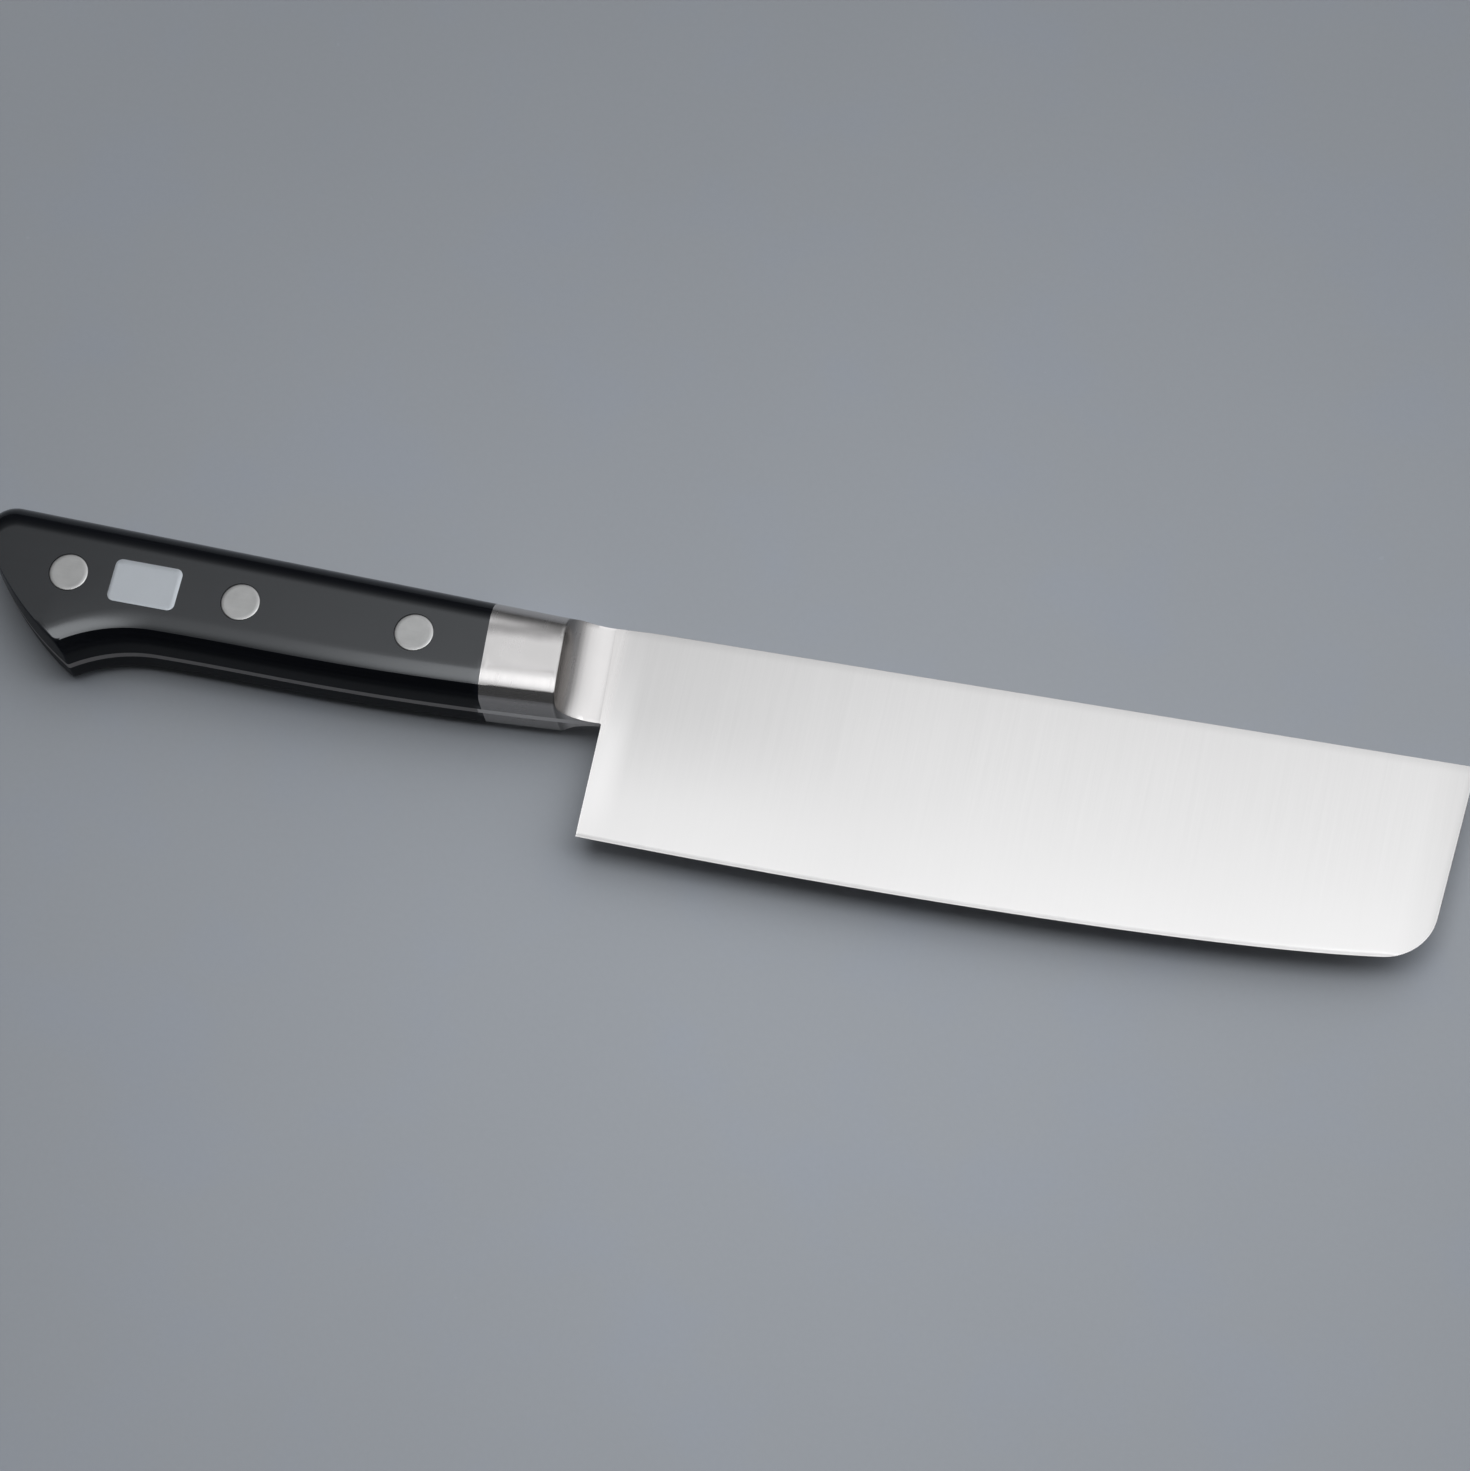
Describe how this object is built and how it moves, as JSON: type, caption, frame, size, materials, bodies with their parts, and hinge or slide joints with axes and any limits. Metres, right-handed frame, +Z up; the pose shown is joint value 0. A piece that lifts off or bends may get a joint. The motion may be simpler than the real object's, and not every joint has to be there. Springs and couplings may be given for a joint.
{
  "type": "nakiri knife",
  "caption": "Full-tang nakiri vegetable knife with a square front, scooped steel bolster and black riveted scales, shown lying on its left face.",
  "frame": {"origin": "middle of the box under the knife, on the surface it lies on", "axes": "+X from the handle to the front of the blade, +Y from the cutting edge to the spine, +Z up out of the right face"},
  "size_m": [0.292, 0.0478, 0.0181],
  "materials": {
    "blade_steel": "satin, fine lines across the blade",
    "bolster_steel": "fine polished",
    "black_laminated_wood": "gloss black",
    "rivet_steel": "satin",
    "label_foil": "brushed foil, unprinted"
  },
  "bodies": {
    "root": {"blade_and_tang": "blade_steel", "bolster_right": "bolster_steel", "bolster_left": "bolster_steel", "scale_right": "black_laminated_wood", "scale_left": "black_laminated_wood", "rivet_front_socket": "rivet_steel", "rivet_front_pin": "rivet_steel", "rivet_middle_socket": "rivet_steel", "rivet_middle_pin": "rivet_steel", "rivet_rear_socket": "rivet_steel", "rivet_rear_pin": "rivet_steel", "handle_label": "label_foil"}
  },
  "joints": []
}
